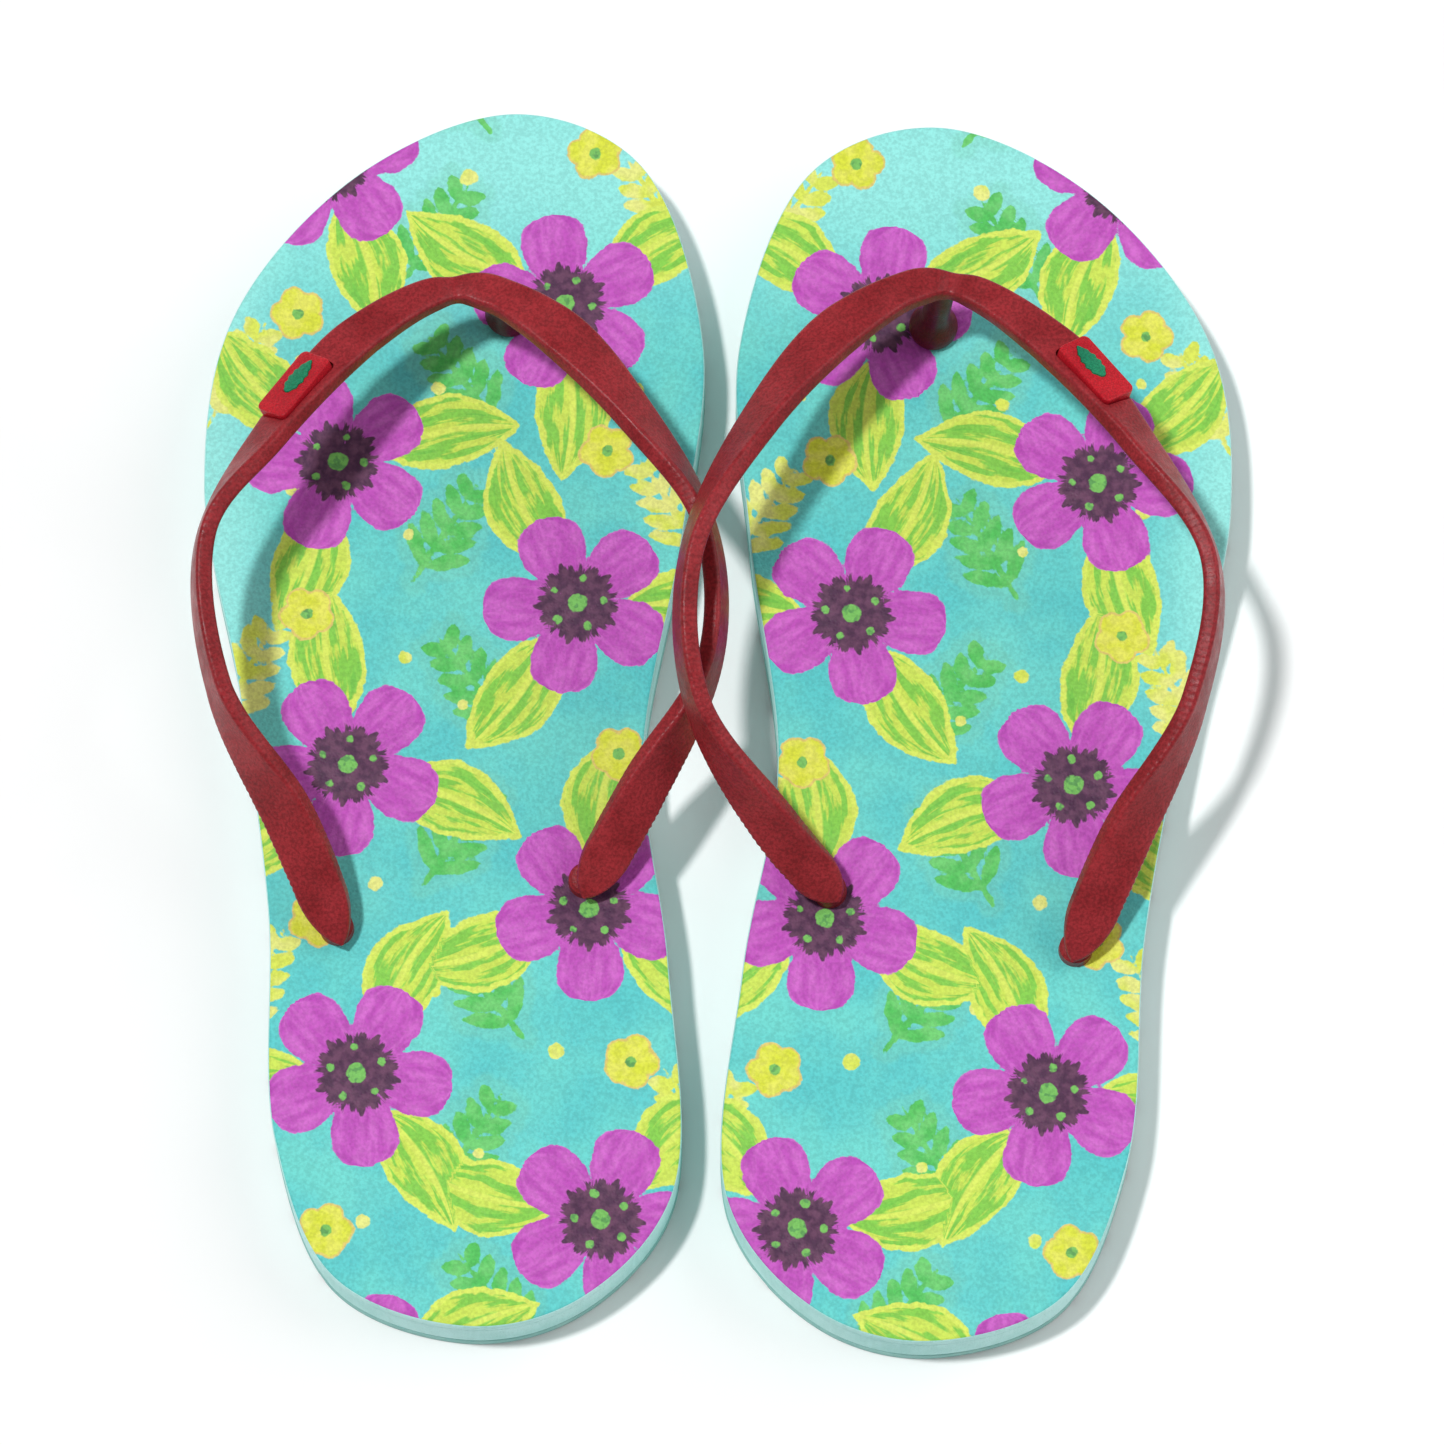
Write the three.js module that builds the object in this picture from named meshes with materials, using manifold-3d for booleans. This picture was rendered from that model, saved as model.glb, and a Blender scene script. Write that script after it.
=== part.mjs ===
// A pair of printed thong sandals (flip-flops), women's size EU 37-38, lying side by side with the inner arm
// of the right strap resting over the inner arm of the left one. Millimetres, +Z up, +Y toward the toes,
// +X toward the wearer's right; the origin is under the middle of the pair, on the ground.
//
// Each thong is a sole laminated from three foam rubber layers, held by one moulded Y-shaped strap: two flat
// arms that meet over a toe post, with a stem and a round plug at each of its three ends. The stems pass
// through holes in the sole, and the plugs sit in pockets in the outsole. A small badge with an inlaid leaf
// is set into the outer arm. One thong is modelled as a left one, with its inner side on +X, and the right
// one is its mirror image, apart from how its strap lies.
import * as THREE from "three";
import { mergeVertices } from "three/addons/utils/BufferGeometryUtils.js";
import Module from "manifold-3d";

const wasm = await Module();
wasm.setup();

// Sole
const OUTLINE_STEPS = 84;
const SOLE_OUTLINE = [
  // x toward the inner side, y from the back of the heel
  [-3, 0], [-28.5, 10.5], [-39.2, 38], [-39.3, 84],
  [-43.6, 128], [-49.5, 172], [-42.5, 206.5], [-16, 235.5],
  [15, 246.2], [38.5, 235], [49.8, 197], [44.2, 157], [34.8, 112], [38, 70], [36.8, 24], [18.5, 4.6],
];
const BOND_LINE = 0.3; // glue line between two layers, and the clearance round every inlaid piece
const OUTSOLE_TOP = 3;
const MIDSOLE_TOP = 12;
const SOLE_TOP = 16;

// Tread: wavy grooves across the outsole
const GROOVE_PITCH = 14;
const GROOVE_WIDTH = 2.2;
const GROOVE_DEPTH = 1.2;
const GROOVE_WAVE = 2; // how far a groove swings each way
const GROOVE_WAVE_LENGTH = 32;
const GROOVE_STEPS = 15;
const GROOVE_REACH = 60; // from the middle, past both sides of the sole

// Strap ends: stems through the sole, and the plugs that hold them
const TOE_HOLE = [12, 204];
const OUTER_HOLE = [-26, 80];
const INNER_HOLE = [22.5, 87.5];
const STEM_RADIUS = 3.2;
const PLUG_RADIUS = 8;
const PLUG_BOTTOM = 0.8;
const PLUG_THICKNESS = 2;
const PLUG_LOWER_CHAMFER = 0.8;
const PLUG_UPPER_CHAMFER = 0.5;
const ARM_STEM_RISE = 3; // how far an arm's stem runs up into the arm
const HOLE_SIDES = 20;
const HOLE_CLEARANCE = 0.35;

// Each strap's route: down the middle of the outer arm from its end to the yoke over the toe post, and on
// down the inner arm. Both arms have as many points, so the yoke is half way.
const STRAP_ROUTE = {
  left: [
    [-25, 76, 18.6], [-34, 98.5, 30.5], [-46.5, 122, 42.5],
    [-48, 151, 47], [-35.5, 170.5, 46.5], [-16.5, 192.5, 42],
    [3, 202.5, 37.5],
    [19.5, 193.5, 40.5], [36.5, 173, 41], [48.5, 152, 38],
    [48.5, 126, 35.5], [34.5, 102.5, 27.5], [22, 83.5, 18.6],
  ],
  right: [
    [-25.5, 77, 18.6], [-33.5, 99, 30], [-44.5, 124.5, 42],
    [-45.5, 151, 47], [-29.5, 174.5, 46.5], [-11, 194.5, 42],
    [10.5, 206, 37.5],
    [27.5, 196, 41], [44, 171.5, 46.5], [54.5, 143, 49], [51, 116, 43], [34, 96, 29], [20.5, 85, 18.6],
  ],
};
// Section of each arm, at each point of its route from the yoke to its end: width, thickness and roll,
// which is how far the top face leans outward, in degrees.
const OUTER_SECTION = [
  [6, 3.8, 8], [8.5, 3.6, 12], [8.5, 3.5, 46], [9, 3.3, 80], [9, 3.3, 76], [11, 3.5, 40], [9, 3.2, 14],
];
const INNER_SECTION = [
  [6, 3.8, 8], [9.5, 3.6, 12], [9, 3.6, 42], [9, 3.4, 76], [9, 3.3, 78], [10, 3.5, 40], [9, 3.2, 14],
];
const STRAP_SIDES = 14;
const STRAP_RINGS = 72;
const SECTION_POWER = 0.6; // below 1 squares the round section up
const END_ROUNDING = 0.035; // share of the strap's length over which each end is rounded
const END_SHARE = 0.3; // what is left of the section at the very end, inside the stem
const POST_SIDES = 16;
const POST_RINGS = 14;
const POST_TAPER = 0.4;

// Badge, set into the outer arm and standing out past its outer edge
const BADGE_AT = { left: 0.366, right: 0.382 }; // share of the way along the strap
const BADGE_LENGTH = 15.6;
const BADGE_WIDTH = 7.4;
const BADGE_OFFSET = 1; // outward, from the middle of the arm
const BADGE_THICKNESS = 2.3;
const BADGE_RISE = 1.2; // of its top above the middle of the arm's top face
const BADGE_CORNER = 1.2;
const BADGE_CURVE_STEPS = 5;
const LEAF_LENGTH = 8.6;
const LEAF_WIDTH = 3.8;
const LEAF_OFFSET = 1.8; // along the badge, toward the yoke
const LEAF_BULGE = 1.3;
const LEAF_FRONT_SHOULDER = 0.4;
const LEAF_REAR_SHOULDER = 0.5;
const LEAF_THICKNESS = 0.9;
const LEAF_RISE = 0.3; // above the plate

// Where each thong lies: the back of its heel, and how far its toes turn out
const LEFT_PLACE = { x: -40.5, y: 1.4, toeOut: 2.35 };
const RIGHT_PLACE = { x: 40.5, y: -1.4, toeOut: 5.1 };

// Cutting shapes
const CUT_REACH = 400; // longer than a thong
const CUT_ABOVE = 5; // how far the cutter of a pocket stands above it
const MERGE_DISTANCE = 1e-4;

const RED = "#9c2f38";
const BADGE_RED = "#c41f27";
const LEAF_GREEN = "#1f8a5f";
const AQUA_PRINT = "#6fd0cc";
const AQUA_FOAM = "#a9d3cc";
const AQUA_RUBBER = "#93c4bd";

const rubber = (color, roughness) => new THREE.MeshStandardMaterial({ color, roughness, metalness: 0 });

// A closed geometry as a manifold-3d solid, and back.
function solidOf(geometry) {
  const bare = geometry.index ? geometry.toNonIndexed() : geometry.clone();
  bare.deleteAttribute("normal");
  bare.deleteAttribute("uv");
  const merged = mergeVertices(bare, MERGE_DISTANCE);
  return new wasm.Manifold(
    new wasm.Mesh({
      numProp: 3,
      vertProperties: merged.attributes.position.array,
      triVerts: new Uint32Array(merged.index.array),
    }),
  );
}

function geometryOf(solid) {
  const mesh = solid.getMesh();
  const geometry = new THREE.BufferGeometry();
  geometry.setAttribute("position", new THREE.BufferAttribute(new Float32Array(mesh.vertProperties), 3));
  geometry.setIndex(new THREE.BufferAttribute(new Uint32Array(mesh.triVerts), 1));
  geometry.computeVertexNormals();
  return geometry;
}

// Outline of the sole, as seen from above.
function soleShape() {
  const through = SOLE_OUTLINE.map(([x, y]) => new THREE.Vector3(x, y, 0));
  const loop = new THREE.CatmullRomCurve3(through, true, "centripetal");
  const points = loop.getSpacedPoints(OUTLINE_STEPS).slice(0, OUTLINE_STEPS);
  return new THREE.Shape(points.map((p) => new THREE.Vector2(p.x, p.y)));
}

function discPath([x, y], radius) {
  const points = new THREE.EllipseCurve(x, y, radius, radius).getPoints(HOLE_SIDES).slice(0, HOLE_SIDES);
  return new THREE.Path(points);
}

// One layer of the sole from z = bottom to z = top, with a round hole for each strap end.
function soleLayer(bottom, top, holeRadius) {
  const shape = soleShape();
  shape.holes = [TOE_HOLE, OUTER_HOLE, INNER_HOLE].map((hole) => discPath(hole, holeRadius));
  const layer = new THREE.ExtrudeGeometry(shape, { depth: top - bottom, bevelEnabled: false });
  return layer.translate(0, 0, bottom);
}

// One groove of the tread, as a wavy bar across the sole, centred on y.
function grooveBar(y) {
  const edge = (side) =>
    Array.from({ length: GROOVE_STEPS + 1 }, (_, i) => {
      const x = GROOVE_REACH * ((2 * i) / GROOVE_STEPS - 1);
      const swing = GROOVE_WAVE * Math.sin((2 * Math.PI * x) / GROOVE_WAVE_LENGTH);
      return new THREE.Vector2(x, y + swing + (side * GROOVE_WIDTH) / 2);
    });
  const shape = new THREE.Shape([...edge(-1), ...edge(1).reverse()]);
  const bar = new THREE.ExtrudeGeometry(shape, { depth: 2 * GROOVE_DEPTH, bevelEnabled: false });
  return bar.translate(0, 0, -GROOVE_DEPTH);
}

function outsole() {
  let solid = solidOf(soleLayer(0, OUTSOLE_TOP, PLUG_RADIUS + HOLE_CLEARANCE));
  const length = Math.max(...SOLE_OUTLINE.map(([, y]) => y));
  for (let y = GROOVE_PITCH; y < length - GROOVE_PITCH / 2; y += GROOVE_PITCH) {
    solid = solid.subtract(solidOf(grooveBar(y)));
  }
  return geometryOf(solid);
}

// The middle of the strap at a share of the way from its outer end to its inner end, with its own
// directions and section there.
function strapLine(route) {
  const path = new THREE.CatmullRomCurve3(route.map(([x, y, z]) => new THREE.Vector3(x, y, z)));
  const sections = [...OUTER_SECTION.slice(1).reverse(), ...INNER_SECTION];
  const section = new THREE.CatmullRomCurve3(sections.map((values) => new THREE.Vector3(...values)));
  return (share) => {
    const centre = path.getPoint(share);
    const along = path.getTangent(share);
    const { x: width, y: thickness, z: roll } = section.getPoint(share);
    const outward = new THREE.Vector3(-along.y, along.x, 0).normalize();
    const upright = new THREE.Vector3().crossVectors(along, outward);
    const lean = THREE.MathUtils.degToRad(roll);
    const face = upright.multiplyScalar(Math.cos(lean)).addScaledVector(outward, Math.sin(lean));
    const across = new THREE.Vector3().crossVectors(along, face);
    return { centre, along, face, across, width, thickness };
  };
}

const squared = (value) => Math.sign(value) * Math.abs(value) ** SECTION_POWER;

// How much of its full section a strap has near either end.
function endShare(share) {
  const fromEnd = Math.min(share, 1 - share) / END_ROUNDING;
  return fromEnd >= 1 ? 1 : Math.sqrt(1 - (1 - fromEnd) ** 2);
}

// A cylinder bent along the line, with its round section stretched to the width and thickness there.
function sweptStrap(line) {
  const geometry = new THREE.CylinderGeometry(1, 1, 1, STRAP_SIDES, STRAP_RINGS);
  const position = geometry.attributes.position;
  for (let i = 0; i < position.count; i++) {
    const share = 0.5 + position.getY(i);
    const { centre, face, across, width, thickness } = line(share);
    const size = Math.max(endShare(share), END_SHARE);
    centre.addScaledVector(across, (squared(position.getX(i)) * width * size) / 2);
    centre.addScaledVector(face, (squared(position.getZ(i)) * thickness * size) / 2);
    position.setXYZ(i, centre.x, centre.y, centre.z);
  }
  return geometry;
}

// The toe post: a round stem from the outsole up through the footbed to the yoke, a little thinner there.
function toePost({ x, y, z }) {
  const [holeX, holeY] = TOE_HOLE;
  const path = new THREE.CatmullRomCurve3([
    new THREE.Vector3(holeX, holeY, OUTSOLE_TOP),
    new THREE.Vector3(holeX, holeY, SOLE_TOP),
    new THREE.Vector3((2 * holeX + x) / 3, (2 * holeY + y) / 3, (SOLE_TOP + z) / 2),
    new THREE.Vector3(x, y, z),
  ]);
  const geometry = new THREE.CylinderGeometry(1, 1, 1, POST_SIDES, POST_RINGS);
  const position = geometry.attributes.position;
  for (let i = 0; i < position.count; i++) {
    const share = 0.5 + position.getY(i);
    const centre = path.getPointAt(share);
    const radius = STEM_RADIUS - POST_TAPER * share;
    const [across, back] = [position.getX(i) * radius, -position.getZ(i) * radius];
    position.setXYZ(i, centre.x + across, centre.y + back, centre.z);
  }
  return geometry;
}

// A stem and the plug under it, turned about the hole's axis.
function plug([x, y], stemTop) {
  const top = PLUG_BOTTOM + PLUG_THICKNESS;
  const profile = [
    [0, PLUG_BOTTOM], [PLUG_RADIUS - PLUG_LOWER_CHAMFER, PLUG_BOTTOM],
    [PLUG_RADIUS, PLUG_BOTTOM + PLUG_LOWER_CHAMFER], [PLUG_RADIUS, top - PLUG_UPPER_CHAMFER],
    [PLUG_RADIUS - PLUG_UPPER_CHAMFER, top], [STEM_RADIUS, top], [STEM_RADIUS, stemTop], [0, stemTop],
  ];
  const points = profile.map(([r, z]) => new THREE.Vector2(r, z));
  const turned = new THREE.LatheGeometry(points, HOLE_SIDES);
  return turned.rotateX(Math.PI / 2).translate(x, y, 0);
}

// A slab in the strap's own directions at the badge: length along it, width across it and thickness.
function badgeSlab(frame, grow, bottom, top) {
  const shape = new THREE.Shape();
  const corner = BADGE_CORNER;
  const [l, w] = [BADGE_LENGTH / 2 + grow, BADGE_WIDTH / 2 + grow];
  shape.moveTo(-l + corner, -w);
  shape.lineTo(l - corner, -w);
  shape.quadraticCurveTo(l, -w, l, -w + corner);
  shape.lineTo(l, w - corner);
  shape.quadraticCurveTo(l, w, l - corner, w);
  shape.lineTo(-l + corner, w);
  shape.quadraticCurveTo(-l, w, -l, w - corner);
  shape.lineTo(-l, -w + corner);
  shape.quadraticCurveTo(-l, -w, -l + corner, -w);
  return inFrame(frame, shape, bottom, top);
}

function leafShape(grow) {
  const [l, w] = [LEAF_LENGTH / 2 + grow, LEAF_WIDTH / 2 + grow];
  const [rear, front] = [LEAF_OFFSET - l, LEAF_OFFSET + l];
  const rearShoulder = LEAF_OFFSET - l * LEAF_REAR_SHOULDER;
  const frontShoulder = LEAF_OFFSET + l * LEAF_FRONT_SHOULDER;
  const bulge = w * LEAF_BULGE;
  const shape = new THREE.Shape();
  shape.moveTo(rear, 0);
  shape.bezierCurveTo(rearShoulder, -bulge, frontShoulder, -bulge, front, 0);
  shape.bezierCurveTo(frontShoulder, bulge, rearShoulder, bulge, rear, 0);
  return shape;
}

// A flat shape, pulled up from bottom to top above the middle of the strap, along the strap's face there.
function inFrame(frame, shape, bottom, top) {
  const options = { depth: top - bottom, bevelEnabled: false, curveSegments: BADGE_CURVE_STEPS };
  const slab = new THREE.ExtrudeGeometry(shape, options);
  slab.translate(0, 0, bottom);
  const turn = new THREE.Matrix4().makeBasis(frame.along, frame.across.clone().negate(), frame.face);
  return slab.applyMatrix4(turn.setPosition(frame.middle));
}

// Strap, badge plate and badge leaf, in the thong's own frame.
function strapPieces(route, badgeAt) {
  const line = strapLine(route);
  const frame = line(badgeAt);
  frame.middle = frame.centre.clone().addScaledVector(frame.across, -BADGE_OFFSET);
  const badgeTop = frame.thickness / 2 + BADGE_RISE;
  const badgeBottom = badgeTop - BADGE_THICKNESS;
  const leafTop = badgeTop + LEAF_RISE;
  const leafBottom = leafTop - LEAF_THICKNESS;

  const armBottom = SOLE_TOP + BOND_LINE;
  const belowArms = new THREE.BoxGeometry(CUT_REACH, 2 * CUT_REACH, armBottom).translate(0, 0, armBottom / 2);
  const pocket = badgeSlab(frame, BOND_LINE, badgeBottom - BOND_LINE, badgeTop + CUT_ABOVE);
  const strap = solidOf(sweptStrap(line))
    .subtract(solidOf(belowArms))
    .subtract(solidOf(pocket))
    .add(solidOf(toePost(line(0.5).centre)))
    .add(solidOf(plug(TOE_HOLE, SOLE_TOP)))
    .add(solidOf(plug(OUTER_HOLE, SOLE_TOP + ARM_STEM_RISE)))
    .add(solidOf(plug(INNER_HOLE, SOLE_TOP + ARM_STEM_RISE)));

  const leafPocket = inFrame(frame, leafShape(BOND_LINE), leafBottom - BOND_LINE, badgeTop + CUT_ABOVE);
  const plate = solidOf(badgeSlab(frame, 0, badgeBottom, badgeTop));
  return {
    strap: geometryOf(strap),
    badge_plate: geometryOf(plate.subtract(solidOf(leafPocket))),
    badge_leaf: inFrame(frame, leafShape(0), leafBottom, leafTop),
  };
}

function thong(side, place) {
  const group = new THREE.Group();
  const add = (name, geometry, material) => {
    const mesh = new THREE.Mesh(geometry, material);
    mesh.name = `${side}_${name}`;
    group.add(mesh);
  };
  const holeRadius = STEM_RADIUS + HOLE_CLEARANCE;
  const { strap, badge_plate, badge_leaf } = strapPieces(STRAP_ROUTE[side], BADGE_AT[side]);
  add("outsole", outsole(), rubber(AQUA_RUBBER, 0.8));
  add("midsole", soleLayer(OUTSOLE_TOP + BOND_LINE, MIDSOLE_TOP, holeRadius), rubber(AQUA_FOAM, 0.85));
  add("printed_footbed", soleLayer(MIDSOLE_TOP + BOND_LINE, SOLE_TOP, holeRadius), rubber(AQUA_PRINT, 0.75));
  add("strap", strap, rubber(RED, 0.5));
  add("badge_plate", badge_plate, rubber(BADGE_RED, 0.4));
  add("badge_leaf", badge_leaf, rubber(LEAF_GREEN, 0.45));

  const mirror = side === "right" ? -1 : 1;
  group.scale.x = mirror;
  group.position.set(place.x, place.y, 0);
  group.rotation.z = THREE.MathUtils.degToRad(mirror * place.toeOut);
  return group;
}

const pair = new THREE.Group();
pair.add(thong("left", LEFT_PLACE), thong("right", RIGHT_PLACE));
pair.updateMatrixWorld(true);
const middle = new THREE.Box3().setFromObject(pair, true).getCenter(new THREE.Vector3());
pair.position.set(-middle.x, -middle.y, 0);

export default pair;
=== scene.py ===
# Looks for a pair of printed thong sandals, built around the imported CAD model. Metres, +Z up, +Y toward the
# toes.
#
# Each thong is drawn in its own frame, as a left one: millimetres, +X toward the inner side, +Y from the back
# of the heel. Placement turns that into the row frame, and mirrors it for the right thong.
import math

import bmesh
import bpy
import numpy as np
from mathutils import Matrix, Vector


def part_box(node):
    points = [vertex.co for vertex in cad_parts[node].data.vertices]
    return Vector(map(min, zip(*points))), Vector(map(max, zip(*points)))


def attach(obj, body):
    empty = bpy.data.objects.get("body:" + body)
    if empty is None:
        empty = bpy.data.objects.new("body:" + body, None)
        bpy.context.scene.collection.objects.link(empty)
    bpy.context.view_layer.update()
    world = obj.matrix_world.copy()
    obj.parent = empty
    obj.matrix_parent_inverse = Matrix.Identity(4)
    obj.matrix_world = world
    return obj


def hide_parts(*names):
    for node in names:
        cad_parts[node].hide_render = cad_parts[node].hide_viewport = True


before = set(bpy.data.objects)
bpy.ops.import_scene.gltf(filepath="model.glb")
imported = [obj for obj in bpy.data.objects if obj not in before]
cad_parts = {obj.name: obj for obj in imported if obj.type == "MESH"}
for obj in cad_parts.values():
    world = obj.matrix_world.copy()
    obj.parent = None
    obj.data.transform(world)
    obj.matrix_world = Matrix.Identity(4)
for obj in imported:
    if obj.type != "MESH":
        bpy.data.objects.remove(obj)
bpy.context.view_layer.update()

MM = 0.001
SIDES = ("left", "right")

# ---------------------------------------------------------------- driving dimensions, as in the CAD

SOLE_OUTLINE = [
    (-3, 0), (-28.5, 10.5), (-39.2, 38), (-39.3, 84), (-43.6, 128), (-49.5, 172), (-42.5, 206.5),
    (-16, 235.5), (15, 246.2), (38.5, 235), (49.8, 197), (44.2, 157), (34.8, 112), (38, 70), (36.8, 24),
    (18.5, 4.6),
]
OUTSOLE_TOP = 3.0
MIDSOLE_TOP = 12.0
SOLE_TOP = 16.0
BOND_LINE = 0.3

GROOVE_PITCH = 14.0
GROOVE_WIDTH = 2.2
GROOVE_DEPTH = 1.2
GROOVE_WAVE = 2.0
GROOVE_WAVE_LENGTH = 32.0

TOE_HOLE = (12, 204)
OUTER_HOLE = (-26, 80)
INNER_HOLE = (22.5, 87.5)
STEM_RADIUS = 3.2
PLUG_RADIUS = 8.0
PLUG_BOTTOM = 0.8
PLUG_THICKNESS = 2.0
HOLE_CLEARANCE = 0.35

STRAP_ROUTE = {
    "left": [
        (-25, 76, 18.6), (-34, 98.5, 30.5), (-46.5, 122, 42.5),
        (-48, 151, 47), (-35.5, 170.5, 46.5), (-16.5, 192.5, 42),
        (3, 202.5, 37.5),
        (19.5, 193.5, 40.5), (36.5, 173, 41), (48.5, 152, 38),
        (48.5, 126, 35.5), (34.5, 102.5, 27.5), (22, 83.5, 18.6),
    ],
    "right": [
        (-25.5, 77, 18.6), (-33.5, 99, 30), (-44.5, 124.5, 42),
        (-45.5, 151, 47), (-29.5, 174.5, 46.5), (-11, 194.5, 42),
        (10.5, 206, 37.5),
        (27.5, 196, 41), (44, 171.5, 46.5), (54.5, 143, 49), (51, 116, 43), (34, 96, 29), (20.5, 85, 18.6),
    ],
}
OUTER_SECTION = [
    (6, 3.8, 8), (8.5, 3.6, 12), (8.5, 3.5, 46), (9, 3.3, 80), (9, 3.3, 76), (11, 3.5, 40), (9, 3.2, 14),
]
INNER_SECTION = [
    (6, 3.8, 8), (9.5, 3.6, 12), (9, 3.6, 42), (9, 3.4, 76), (9, 3.3, 78), (10, 3.5, 40), (9, 3.2, 14),
]
END_ROUNDING = 0.035
POST_TAPER = 0.4

BADGE_AT = {"left": 0.366, "right": 0.382}
BADGE_LENGTH = 15.6
BADGE_WIDTH = 7.4
BADGE_OFFSET = 1.0
BADGE_THICKNESS = 2.3
BADGE_RISE = 1.2
BADGE_CORNER = 1.2
LEAF_LENGTH = 8.6
LEAF_WIDTH = 3.8
LEAF_OFFSET = 1.8
LEAF_THICKNESS = 0.9
LEAF_RISE = 0.3

TOE_OUT = {"left": 2.35, "right": 5.1}

# ---------------------------------------------------------------- curves


def spline(points, t, closed=False):
    """Centripetal Catmull-Rom curve through the points, at parameters t from 0 to 1."""
    points = np.array(points, float)
    count = len(points)
    spans = count if closed else count - 1
    place = np.clip(np.asarray(t, float), 0, 1) * spans
    index = np.minimum(place.astype(int), spans - 1)
    weight = (place - index)[:, None]
    if closed:
        p0, p1, p2, p3 = (points[(index + k) % count] for k in (-1, 0, 1, 2))
    else:
        padded = np.vstack([2 * points[0] - points[1], points, 2 * points[-1] - points[-2]])
        p0, p1, p2, p3 = (padded[index + k] for k in range(4))
    d0, d1, d2 = (np.sqrt(np.linalg.norm(b - a, axis=1))[:, None] for a, b in ((p0, p1), (p1, p2), (p2, p3)))
    m1 = ((p1 - p0) / d0 - (p2 - p0) / (d0 + d1) + (p2 - p1) / d1) * d1
    m2 = ((p2 - p1) / d1 - (p3 - p1) / (d1 + d2) + (p3 - p2) / d2) * d1
    c2 = -3 * p1 + 3 * p2 - 2 * m1 - m2
    c3 = 2 * p1 - 2 * p2 + m1 + m2
    return ((c3 * weight + c2) * weight + m1) * weight + p1


def unit(vectors):
    return vectors / np.linalg.norm(vectors, axis=-1, keepdims=True)


def smooth_step(low, high, value):
    share = np.clip((value - low) / (high - low), 0, 1)
    return share * share * (3 - 2 * share)


# ---------------------------------------------------------------- placing

DENSE = 4000
dense_outline = spline(SOLE_OUTLINE, np.arange(DENSE) / DENSE, closed=True)


def turned(side, points):
    """Points of a thong, turned and mirrored as it lies, still in millimetres."""
    mirror = -1 if side == "right" else 1
    angle = math.radians(mirror * TOE_OUT[side])
    out = np.array(points, float)
    x, y = mirror * out[:, 0], out[:, 1].copy()
    out[:, 0] = math.cos(angle) * x - math.sin(angle) * y
    out[:, 1] = math.sin(angle) * x + math.cos(angle) * y
    return out


def middle_of(points):
    return (points.min(0) + points.max(0)) / 2


def placed(side, points):
    """Points of a thong in the row frame, in metres: its outline's box is centred on the CAD outsole's."""
    low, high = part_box(f"{side}_outsole")
    middle = np.array([(low.x + high.x) / 2, (low.y + high.y) / 2]) / MM
    shift = middle - middle_of(turned(side, dense_outline))
    out = turned(side, points)
    out[:, :2] += shift
    return out * MM


# ---------------------------------------------------------------- meshes


def build(name, side, points, faces, materials, face_slots=None, smooth_angle=40):
    """A mesh piece from a thong's own points and faces; faces are turned over on the mirrored thong."""
    mesh = bpy.data.meshes.new(name)
    if side == "right":
        faces = [tuple(reversed(face)) for face in faces]
    mesh.from_pydata(placed(side, points).tolist(), [], [tuple(map(int, face)) for face in faces])
    for material in materials:
        mesh.materials.append(material)
    if face_slots is not None:
        mesh.polygons.foreach_set("material_index", np.array(face_slots, np.int32))
    mesh.polygons.foreach_set("use_smooth", np.ones(len(mesh.polygons), bool))
    mesh.set_sharp_from_angle(angle=math.radians(smooth_angle))
    piece = bpy.data.objects.new(name, mesh)
    bpy.context.scene.collection.objects.link(piece)
    return piece


def grid_faces(rows, columns, start=0, wrap=False):
    """Quads between rows of points; wrap joins the last column to the first."""
    across = columns if wrap else columns - 1
    j, i = np.meshgrid(np.arange(rows - 1), np.arange(across), indexing="ij")
    a = start + j * columns + i
    b = start + j * columns + (i + 1) % columns
    return np.stack([a, b, b + columns, a + columns], axis=-1).reshape(-1, 4).tolist()


# ---------------------------------------------------------------- sole

RIM_ROWS = 500
SOLE_COLUMNS = 144
QUARTER_TURN = np.array([[0, 1], [-1, 0]])
outward_normal = unit(np.roll(dense_outline, -1, 0) - np.roll(dense_outline, 1, 0)) @ QUARTER_TURN
if ((dense_outline - middle_of(dense_outline)) * outward_normal).sum() < 0:
    outward_normal = -outward_normal


def sole_sides(inset):
    """Points and normals on the outer and the inner side of an inset outline, where level rows meet it."""
    loop = dense_outline - outward_normal * inset
    heel = loop[:, 1].argmin()
    loop, normals = np.roll(loop, -heel, 0), np.roll(outward_normal, -heel, 0)
    toe = loop[:, 1].argmax()
    low, high = loop[0, 1], loop[toe, 1]
    levels = low + (high - low) * (1 - np.cos(np.pi * np.arange(RIM_ROWS + 1) / RIM_ROWS)) / 2
    sides = []
    for index in (np.arange(toe + 1), np.append(0, np.arange(DENSE - 1, toe - 1, -1))):
        height = np.maximum.accumulate(loop[index, 1])
        place = np.interp(levels, height, np.arange(len(index)))
        place[0], place[-1] = 0, len(index) - 1
        whole = np.floor(place).astype(int).clip(0, len(index) - 2)
        part = (place - whole)[:, None]
        here, there = index[whole], index[whole + 1]
        sides.append(loop[here] * (1 - part) + loop[there] * part)
        sides.append(unit(normals[here] * (1 - part) + normals[there] * part))
    return sides


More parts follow.
